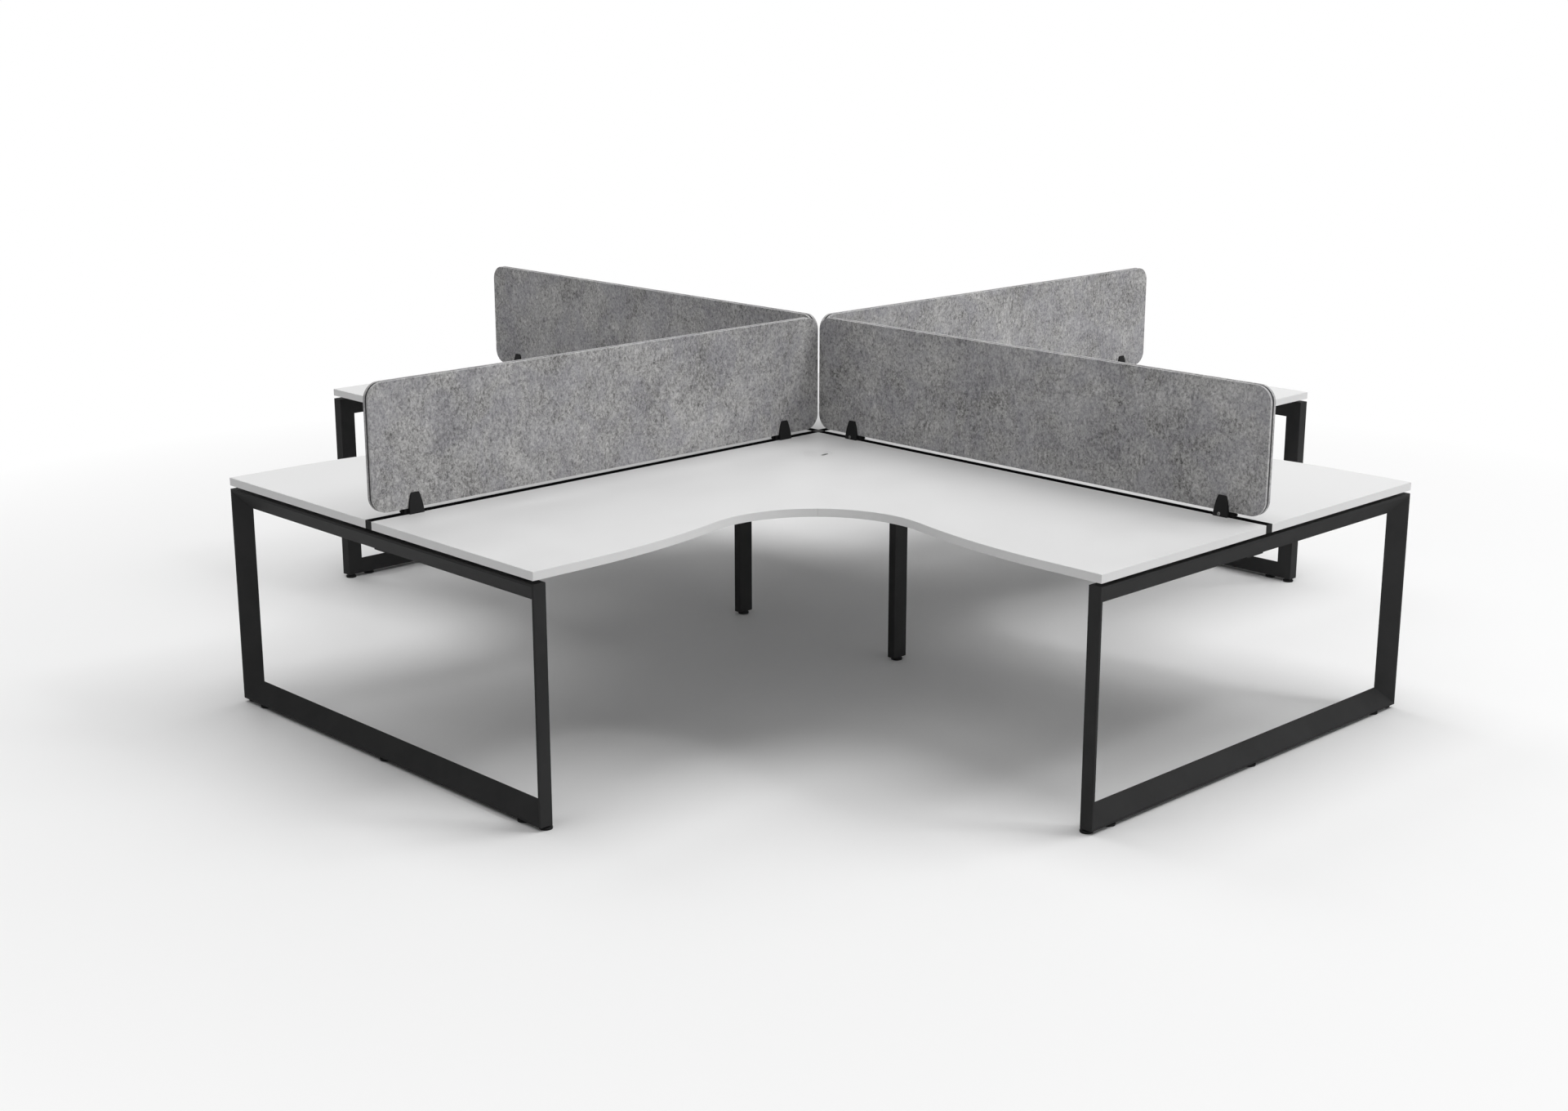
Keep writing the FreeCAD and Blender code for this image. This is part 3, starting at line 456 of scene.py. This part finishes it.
def headed_places(node):
    """Each headed solid of a node: its sizes, and the move that takes +Z and the head's seat to it."""
    mesh = merged(node)
    places = []
    for corners in loose_parts(mesh):
        low, high = box_round(corners)
        extent = high - low
        axis = max(range(3), key=lambda i: extent[i])
        centre = (low + high) / 2
        spans = []
        for corner in corners:
            away = corner - centre
            along = away[axis]
            away[axis] = 0.0
            spans.append((away.length, along))
        head_radius = max(radius for radius, along in spans)
        shank_radius = min(radius for radius, along in spans)
        head = [along for radius, along in spans if radius > head_radius * (1 - SAME_RADIUS)]
        shank = [along for radius, along in spans if radius < shank_radius * (1 + SAME_RADIUS)]
        side = 1.0 if sum(head) / len(head) > sum(shank) / len(shank) else -1.0
        seat = min(head) if side > 0 else max(head)
        tip = min(shank) if side > 0 else max(shank)
        direction = Vector([side if i == axis else 0.0 for i in range(3)])
        origin = centre.copy()
        origin[axis] += seat
        top = extent[axis] - abs(seat - tip)
        move = Matrix.Translation(origin) @ direction.to_track_quat("Z", "Y").to_matrix().to_4x4()
        measures = tuple(round(size, 6) for size in (head_radius, top, shank_radius, abs(seat - tip)))
        places.append((measures, move))
    mesh.free()
    return places


def socket_screw(head_radius, head_height, shank_radius, shank_length):
    """A screw with an eased head, a six-sided socket and a pointed-off shank."""
    mesh = bmesh.new()
    rim = head_height * 0.16
    lead = shank_radius * 0.3
    flat = head_radius - rim
    socket = head_radius * 0.56
    socket_floor = head_height * 0.35
    profile = [(head_radius, head_height - rim), (head_radius, 0.0), (shank_radius, 0.0),
               (shank_radius, lead - shank_length), (shank_radius - lead, -shank_length)]
    spun(mesh, profile, ROUND_STEPS)
    tip = [edge for edge in mesh.edges if edge.is_boundary and edge.verts[0].co.z < 0]
    bmesh.ops.holes_fill(mesh, edges=tip, sides=0)
    rings = [[edge for edge in mesh.edges if edge.is_boundary]]
    for radius, height, sides in ((flat, head_height, ROUND_STEPS), (socket, head_height, HEXAGON),
                                  (socket, socket_floor, HEXAGON)):
        made = bmesh.ops.create_circle(mesh, cap_ends=False, segments=sides, radius=radius,
                                       matrix=Matrix.Translation((0, 0, height)))["verts"]
        rings.append(list({edge for vert in made for edge in vert.link_edges}))
    for upper, lower in zip(rings, rings[1:]):
        bmesh.ops.bridge_loops(mesh, edges=upper + lower)
    close(mesh)
    return mesh


def thumb_screw(head_radius, head_height, shank_radius, shank_length):
    """A ribbed head with a sunk face, on a short shank."""
    mesh = bmesh.new()
    ribs = sizes().grip_ribs
    valley = 0.93
    rim = head_radius * 0.3
    slope = head_radius * 0.1
    sunk = head_radius * 0.3
    shank_sides = 20
    bmesh.ops.create_cone(mesh, cap_ends=True, segments=ribs * 2, radius1=head_radius, radius2=head_radius,
                          depth=head_height, matrix=Matrix.Translation((0, 0, head_height / 2)))
    step = math.pi / ribs
    valleys = [vert for vert in mesh.verts if round(math.atan2(vert.co.y, vert.co.x) / step) % 2]
    bmesh.ops.scale(mesh, vec=(valley, valley, 1.0), verts=valleys)
    top = [face for face in mesh.faces if face.normal.z > 1 - SAME_DIRECTION]
    bmesh.ops.inset_region(mesh, faces=top, thickness=rim, depth=0.0)
    bmesh.ops.inset_region(mesh, faces=top, thickness=slope, depth=-sunk)
    bmesh.ops.create_cone(mesh, cap_ends=True, segments=shank_sides, radius1=shank_radius,
                          radius2=shank_radius, depth=shank_length,
                          matrix=Matrix.Translation((0, 0, -shank_length / 2)))
    bmesh.ops.recalc_face_normals(mesh, faces=mesh.faces)
    return mesh


def turned_screws(node, make, smooth=SHARP_DEGREES):
    """One piece with a modelled screw at each solid of a CAD node."""
    whole = bmesh.new()
    patterns = {}
    for measures, move in headed_places(node):
        if measures not in patterns:
            patterns[measures] = make(*measures)
        screw = patterns[measures].copy()
        bmesh.ops.transform(screw, matrix=move, verts=screw.verts)
        join(whole, screw)
        screw.free()
    for pattern in patterns.values():
        pattern.free()
    return finished(node + "_turned", whole, SLOTS[node], FIXED_BODY, node, smooth=smooth)


def foot_pad(radius, neck_top):
    """A round pad with an eased rim, a shallow groove and a hexagonal neck."""
    mesh = bmesh.new()
    sole = radius * 0.86
    rim = radius * 0.07
    bevel = rim * 0.3
    groove = radius * 0.03
    height = radius * 0.37
    neck = radius * 0.58
    spun(mesh, [(sole, 0.0), (radius - bevel, bevel), (radius, rim), (radius, height * 0.42),
                (radius - groove, height * 0.5), (radius, height * 0.58), (radius, height - rim),
                (radius - bevel, height - bevel), (radius - rim, height)], ROUND_STEPS * 2)
    close(mesh)
    made = bmesh.ops.create_cone(mesh, cap_ends=True, segments=HEXAGON, radius1=neck, radius2=neck,
                                 depth=neck_top - height,
                                 matrix=Matrix.Translation((0, 0, (height + neck_top) / 2)))
    neck_edges = {edge for vert in made["verts"] for edge in vert.link_edges}
    ease(mesh, list(neck_edges), neck * 0.05, segments=2)
    return mesh


def stud(radius, low, high, pitch):
    """A stud whose thread is turned as close rings."""
    mesh = bmesh.new()
    depth = pitch * 0.45
    profile = [(radius - depth, low)]
    for i in range(int((high - low) / pitch)):
        height = low + i * pitch
        profile += [(radius, height + pitch * 0.5), (radius - depth, height + pitch)]
    profile.append((radius - depth * 1.5, high))
    spun(mesh, profile, ROUND_STEPS)
    close(mesh)
    return mesh


# Operators, one for each piece or group of like pieces

class WORKSTATION_OT_worktops(bpy.types.Operator):
    """Four L-shaped boards, with eased rims beside the edge band"""
    bl_idname = "workstation.worktops"
    bl_label = "Worktops"

    def execute(self, context):
        for name in WORKTOPS:
            softened("worktop_" + name, sizes().joint_edge, segments=1)
        return {"FINISHED"}


class WORKSTATION_OT_edge_bands(bpy.types.Operator):
    """Two strips of edge band round each worktop, with a fine seam where they meet"""
    bl_idname = "workstation.edge_bands"
    bl_label = "Edge bands"

    def execute(self, context):
        seam = sizes().band_seam / 2
        across = Vector((1, 1, 0)).normalized()
        for quarter, name in enumerate(WORKTOPS):
            node = "edge_band_" + name
            mesh = merged(node)
            turn(mesh, -quarter)
            ends = [face for face in mesh.faces if abs(face.normal.dot(across)) > 1 - SAME_DIRECTION
                    and abs(face.calc_center_median().dot(across)) < SEAM_REACH]
            bmesh.ops.delete(mesh, geom=ends, context="FACES_ONLY")
            make_flats_whole(mesh)
            whole = bmesh.new()
            for side in (-1, 1):
                strip = mesh.copy()
                cut = bmesh.ops.bisect_plane(strip, geom=strip.verts[:] + strip.edges[:] + strip.faces[:],
                                             dist=CUT_REACH, plane_co=across * seam * side,
                                             plane_no=across * side, clear_inner=True)
                end = [item for item in cut["geom_cut"] if isinstance(item, bmesh.types.BMEdge)]
                bmesh.ops.edgeloop_fill(strip, edges=end)
                ease(strip, sharp_edges(strip), sizes().top_edge, segments=3)
                join(whole, strip)
                strip.free()
            mesh.free()
            turn(whole, quarter)
            finished(node + "_eased", whole, SLOTS[node], FIXED_BODY, node)
        return {"FINISHED"}


class WORKSTATION_OT_grommets(bpy.types.Operator):
    """Four cable grommets with turning caps"""
    bl_idname = "workstation.grommets"
    bl_label = "Cable grommets"

    def execute(self, context):
        softened("grommet_liners", sizes().joint_edge)
        for name in WORKTOPS:
            cap = "grommet_cap_" + name
            softened(cap, sizes().joint_edge, body=cap)
        return {"FINISHED"}


class WORKSTATION_OT_loop_legs(bpy.types.Operator):
    """The four loop legs, with their mitred corners welded and ground"""
    bl_idname = "workstation.loop_legs"
    bl_label = "Loop legs"

    def execute(self, context):
        for quarter, name in enumerate(ARMS):
            node = "loop_leg_" + name
            mesh = merged(node)
            turn(mesh, -quarter)
            mitres = [face for face in mesh.faces if abs(face.normal.x) < SAME_DIRECTION
                      and abs(abs(face.normal.y) - abs(face.normal.z)) < SAME_DIRECTION]
            bmesh.ops.delete(mesh, geom=mitres, context="FACES_ONLY")
            make_flats_whole(mesh)
            turn(mesh, quarter)
            finished(node + "_welded", mesh, SLOTS[node], FIXED_BODY, node, smooth=WELD_DEGREES)
        return {"FINISHED"}


class WORKSTATION_OT_underframe(bpy.types.Operator):
    """Beams, hub, cross plates, spacers and middle posts under the worktops"""
    bl_idname = "workstation.underframe"
    bl_label = "Underframe"

    def execute(self, context):
        keep_node("beams", "centre_hub", "cross_plates", "post_plugs", "foot_inserts")
        keep_node(*["middle_post_" + name for name in POST_ARMS])
        softened("spacers", sizes().metal_edge)
        return {"FINISHED"}


class WORKSTATION_OT_feet(bpy.types.Operator):
    """Ten levelling feet with threaded studs, and twelve glides"""
    bl_idname = "workstation.feet"
    bl_label = "Feet and glides"

    def execute(self, context):
        nodes = ["levelling_foot_%s_%d" % (name, number) for name in ARMS for number in (1, 2)]
        nodes += ["post_foot_" + name for name in POST_ARMS]
        neck_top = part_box("loop_leg_front_right")[0].z
        for node in nodes:
            low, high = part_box(node)
            radius = (high.x - low.x) / 2
            place = Vector((middle(node).x, middle(node).y, 0.0))
            pad = foot_pad(radius, neck_top)
            bmesh.ops.translate(pad, verts=pad.verts, vec=place)
            finished(node + "_pad", pad, SLOTS[node], node, node)
            pitch = sizes().thread_pitch
            thread = stud(radius * STUD_SHARE, neck_top - pitch, high.z, pitch)
            bmesh.ops.translate(thread, verts=thread.verts, vec=place)
            finished(node + "_stud", thread, "zinc_steel", node)

        solids = merged("loop_glides")
        glides = bmesh.new()
        for corners in loose_parts(solids):
            low, high = box_round(corners)
            radius = (high.x - low.x) / 2
            glide = foot_pad(radius, neck_top)
            lower, upper = [radius * share for share in STEM_SHARES]
            bmesh.ops.create_cone(glide, cap_ends=True, segments=ROUND_STEPS, radius1=lower, radius2=upper,
                                  depth=high.z - neck_top,
                                  matrix=Matrix.Translation((0, 0, (high.z + neck_top) / 2)))
            centre = (low + high) / 2
            bmesh.ops.translate(glide, verts=glide.verts, vec=(centre.x, centre.y, 0.0))
            join(glides, glide)
            glide.free()
        solids.free()
        finished("loop_glides_pads", glides, SLOTS["loop_glides"], FIXED_BODY, "loop_glides")
        return {"FINISHED"}


class WORKSTATION_OT_fasteners(bpy.types.Operator):
    """Plated screws and bolts of the frame, with sockets in their heads"""
    bl_idname = "workstation.fasteners"
    bl_label = "Fasteners"

    def execute(self, context):
        turned_screws("worktop_screws", socket_screw)
        turned_screws("frame_bolts", socket_screw)
        return {"FINISHED"}


class WORKSTATION_OT_gap_rails(bpy.types.Operator):
    """Gap rails between the worktops, with their end caps and centre cap"""
    bl_idname = "workstation.gap_rails"
    bl_label = "Gap rails"

    def execute(self, context):
        for name in ARMS:
            softened("gap_rail_" + name, sizes().metal_edge)
        softened("rail_end_caps", sizes().metal_edge)
        softened("rail_centre_cap", sizes().metal_edge)
        return {"FINISHED"}


def through_length(edge):
    """How far an edge runs along Y, through a sheet on the +X arm."""
    return abs(edge.verts[0].co.y - edge.verts[1].co.y)


def felt_sheet(low, high, seed):
    """A cut felt sheet on the +X arm: rounded corners, soft cut edges and a faintly uneven face."""
    own = sizes()
    mesh = bmesh.new()
    centre = (high + low) / 2
    block = Matrix.Translation(centre) @ Matrix.Diagonal((*(high - low), 1.0))
    bmesh.ops.create_cube(mesh, size=1.0, matrix=block)
    corners = [edge for edge in mesh.edges if through_length(edge) > CUT_REACH]
    ease(mesh, corners, own.felt_corner, segments=14)
    rims = [edge for edge in sharp_edges(mesh) if through_length(edge) < CUT_REACH]
    ease(mesh, rims, own.felt_edge, segments=3)
    # The cut edge's faces are marked for the felt's painted highlight
    mark = mesh.faces.layers.float.new(CUT_EDGE)
    for face in mesh.faces:
        face[mark] = float(abs(face.normal.y) < CUT_LEAN)
    for axis in (0, 2):
        span = high[axis] - low[axis]
        count = max(2, round(span / own.felt_cell))
        normal = Vector((axis == 0, 0, axis == 2))
        for i in range(1, count):
            point = centre.copy()
            point[axis] = low[axis] + span * i / count
            bmesh.ops.bisect_plane(mesh, geom=mesh.verts[:] + mesh.edges[:] + mesh.faces[:], dist=CUT_REACH,
                                   plane_co=point, plane_no=normal)
    bmesh.ops.triangulate(mesh, faces=[face for face in mesh.faces if len(face.verts) > 4])
    for vert in mesh.verts:
        inset = min(vert.co.x - low.x, high.x - vert.co.x, vert.co.z - low.z, high.z - vert.co.z)
        share = min(1.0, inset / own.felt_cell)
        swell = noise.noise(Vector((vert.co.x * FELT_WAVES, seed, vert.co.z * FELT_WAVES)))
        away = 1.0 if vert.co.y > centre.y else -1.0
        vert.co.y -= away * own.felt_wave * share * (1.0 + swell) / 2
    return mesh


class WORKSTATION_OT_screens(bpy.types.Operator):
    """Four screens: two felt sheets with soft cut edges on a dark core"""
    bl_idname = "workstation.screens"
    bl_label = "Felt screens"

    def execute(self, context):
        low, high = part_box("screen_felt_front_right")
        core_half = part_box("screen_core_front_right")[1].y
        for quarter, name in enumerate(ARMS):
            felt = "screen_felt_" + name
            mesh = bmesh.new()
            for side, faces in ((-1, (low.y, -core_half)), (1, (core_half, high.y))):
                near = Vector((low.x, faces[0], low.z))
                far = Vector((high.x, faces[1], high.z))
                sheet = felt_sheet(near, far, seed=quarter * 7.0 + side * 3.0)
                join(mesh, sheet)
                sheet.free()
            turn(mesh, quarter)
            piece = finished(felt + "_sheets", mesh, SLOTS[felt], FIXED_BODY, felt, smooth=FELT_DEGREES)
            softened("screen_core_" + name, sizes().metal_edge)
        return {"FINISHED"}


class WORKSTATION_OT_clamps(bpy.types.Operator):
    """Eight screen clamps with their screws"""
    bl_idname = "workstation.clamps"
    bl_label = "Screen clamps"

    def execute(self, context):
        keep_node("clamp_bodies", "clamp_front_jaws", "clamp_plates")
        turned_screws("clamp_jaw_screws", socket_screw)
        turned_screws("clamp_hold_bolts", socket_screw)
        turned_screws("clamp_thumb_screws", thumb_screw, smooth=GRIP_DEGREES)
        return {"FINISHED"}


# Stage

# Softboxes: name, place, width and height in metres, watts. They all face the point below.
SOFTBOXES = (
    ("overhead", (0.0, 0.0, 10.0), 6.0, 6.0, 380.0),
    ("key", (5.0, 5.0, 9.0), 5.0, 5.0, 365.0),
    ("small_key", (7.0, 3.2, 9.0), 1.5, 1.5, 120.0),
    ("back_right", (0.0, 7.0, 9.0), 5.0, 5.0, 97.0),
    ("back_left", (-7.0, 0.0, 9.0), 5.0, 5.0, 222.0),
    ("front_left", (0.0, -7.0, 9.0), 5.0, 5.0, 117.0),
    ("front", (5.0, -5.0, 9.0), 5.0, 5.0, 35.0),
    ("low_right", (9.0, 0.0, 1.2), 6.0, 2.0, 116.0),
)
AIM = Vector((0.0, 0.0, 0.4))
# How strongly the white room lights the object
ROOM_LIGHT = 0.17
WHITE = (1.0, 1.0, 1.0, 1.0)
# The floor reaches this far from the middle, and turns white between these distances, in metres
FLOOR_REACH = 40.0
FADE_START = 1.9
FADE_END = 4.6
# The photograph's camera: its place in metres, its turns in degrees, its lens and sensor in millimetres
CAMERA_PLACE = (5.17146, -5.15624, 2.24695)
CAMERA_DOWN = 15.0078
CAMERA_HEADING = 46.0035
LENS = 50.03
SENSOR = 36.0


def area_light(name, place, width, depth, watts):
    light = bpy.data.lights.new(name, "AREA")
    light.shape = "RECTANGLE"
    light.size = width
    light.size_y = depth
    light.energy = watts
    lamp = bpy.data.objects.new(name, light)
    lamp.location = place
    lamp.rotation_euler = (AIM - Vector(place)).to_track_quat("-Z", "Y").to_euler()
    bpy.context.scene.collection.objects.link(lamp)


def seen_directly(graph):
    """1 where the camera, a gloss or a see-through surface looks straight at it."""
    path = graph.add("ShaderNodeLightPath").outputs
    direct = graph.maths("MAXIMUM", path["Is Camera Ray"], path["Is Glossy Ray"])
    return graph.maths("MAXIMUM", direct, path["Is Transmission Ray"])


def floor_material():
    """A pale floor that keeps the object's shadow and turns white where it runs away."""
    material, graph, place, surface = blank_material("Pale floor")
    reach = graph.add("ShaderNodeVectorMath", {0: place}, operation="LENGTH").outputs["Value"]
    fade = graph.spread(reach, FADE_START, FADE_END)
    mask = graph.times(fade, seen_directly(graph))
    pale = graph.add("ShaderNodeBsdfDiffuse", {"Color": shaded(colours().floor, 1.0)}).outputs[0]
    white = graph.add("ShaderNodeEmission", {"Color": WHITE, "Strength": 1.0}).outputs[0]
    graph.link(graph.add("ShaderNodeMixShader", {0: mask, 1: pale, 2: white}).outputs[0], surface)
    return material


class WORKSTATION_OT_stage(bpy.types.Operator):
    """The pale floor, the soft lights, the white surroundings and the camera"""
    bl_idname = "workstation.stage"
    bl_label = "Stage"

    def execute(self, context):
        scene = context.scene
        mesh = bmesh.new()
        bmesh.ops.create_grid(mesh, x_segments=1, y_segments=1, size=FLOOR_REACH)
        data = bpy.data.meshes.new("floor")
        mesh.to_mesh(data)
        mesh.free()
        data.materials.append(floor_material())
        floor = bpy.data.objects.new("floor", data)
        scene.collection.objects.link(floor)

        world = bpy.data.worlds.new("studio")
        scene.world = world
        world.use_nodes = True
        world.node_tree.nodes.clear()
        graph = Graph(world.node_tree)
        room = graph.add("ShaderNodeBackground", {"Color": WHITE, "Strength": ROOM_LIGHT}).outputs[0]
        white = graph.add("ShaderNodeBackground", {"Color": WHITE, "Strength": 1.0}).outputs[0]
        mixed = graph.add("ShaderNodeMixShader", {0: seen_directly(graph), 1: room, 2: white}).outputs[0]
        graph.link(mixed, graph.add("ShaderNodeOutputWorld").inputs["Surface"])

        for name, place, width, depth, watts in SOFTBOXES:
            area_light(name, place, width, depth, watts)

        camera = bpy.data.cameras.new("camera")
        camera.sensor_width = SENSOR
        camera.lens = LENS
        viewer = bpy.data.objects.new("camera", camera)
        viewer.location = CAMERA_PLACE
        viewer.rotation_euler = (math.radians(90 - CAMERA_DOWN), 0.0, math.radians(CAMERA_HEADING))
        scene.collection.objects.link(viewer)
        scene.camera = viewer
        scene.view_settings.view_transform = "Standard"
        return {"FINISHED"}


class WORKSTATION_PT_pieces(bpy.types.Panel):
    """Lists the pieces, sizes and colours of the workstation"""
    bl_idname = "WORKSTATION_PT_pieces"
    bl_label = "Workstation"
    bl_space_type = "VIEW_3D"
    bl_region_type = "UI"
    bl_category = "Workstation"

    def draw(self, context):
        column = self.layout.column()
        for operator in OPERATORS:
            column.operator(operator.bl_idname)
        for group in (context.scene.workstation_sizes, context.scene.workstation_colours):
            for key in group.__annotations__:
                column.prop(group, key)


OPERATORS = (
    WORKSTATION_OT_worktops,
    WORKSTATION_OT_edge_bands,
    WORKSTATION_OT_grommets,
    WORKSTATION_OT_loop_legs,
    WORKSTATION_OT_underframe,
    WORKSTATION_OT_feet,
    WORKSTATION_OT_fasteners,
    WORKSTATION_OT_gap_rails,
    WORKSTATION_OT_screens,
    WORKSTATION_OT_clamps,
    WORKSTATION_OT_stage,
)
CLASSES = (WorkstationSizes, WorkstationColours) + OPERATORS + (WORKSTATION_PT_pieces,)


def register():
    for item in CLASSES:
        bpy.utils.register_class(item)
    bpy.types.Scene.workstation_sizes = PointerProperty(type=WorkstationSizes)
    bpy.types.Scene.workstation_colours = PointerProperty(type=WorkstationColours)


def unregister():
    del bpy.types.Scene.workstation_colours
    del bpy.types.Scene.workstation_sizes
    for item in reversed(CLASSES):
        bpy.utils.unregister_class(item)


def main():
    register()
    steps = bpy.ops.workstation
    steps.worktops()
    steps.edge_bands()
    steps.grommets()
    steps.loop_legs()
    steps.underframe()
    steps.feet()
    steps.fasteners()
    steps.gap_rails()
    steps.screens()
    steps.clamps()
    steps.stage()


if __name__ == "__main__":
    main()
